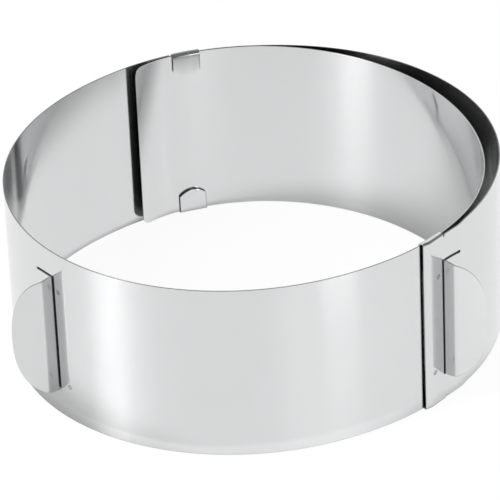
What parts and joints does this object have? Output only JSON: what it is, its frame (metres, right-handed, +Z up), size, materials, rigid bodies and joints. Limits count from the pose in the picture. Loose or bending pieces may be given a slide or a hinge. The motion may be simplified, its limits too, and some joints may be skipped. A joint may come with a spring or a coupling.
{
  "type": "adjustable cake ring",
  "caption": "Open-ended steel cake ring of overlapping springy bands that slide in folded guide tabs to change its diameter, with half-moon finger plates outside.",
  "frame": {"origin": "under the middle of the whole ring's outline, on the surface that it stands on", "axes": "+Z up along the ring's axis; the left handle is at -X -Y, the right handle at +X -Y, and the crescent between the bands at +X"},
  "size_m": [0.2238, 0.2152, 0.0866],
  "materials": {
    "band_steel": "springy stainless steel sheet, finely polished to a soft mirror",
    "handle_steel": "stainless steel sheet, finely polished to a soft mirror"
  },
  "bodies": {
    "long_part": {"long_band": "band_steel", "left_handle": "handle_steel"},
    "short_part": {"short_band": "band_steel", "right_handle": "handle_steel"}
  },
  "joints": [
    {"name": "band_slide", "type": "hinge", "parent": "long_part", "child": "short_part", "pos_m": [0.00078, 0.00205, 0.0433], "axis": [0, 0, 1], "range_deg": [-10, 8]}
  ]
}
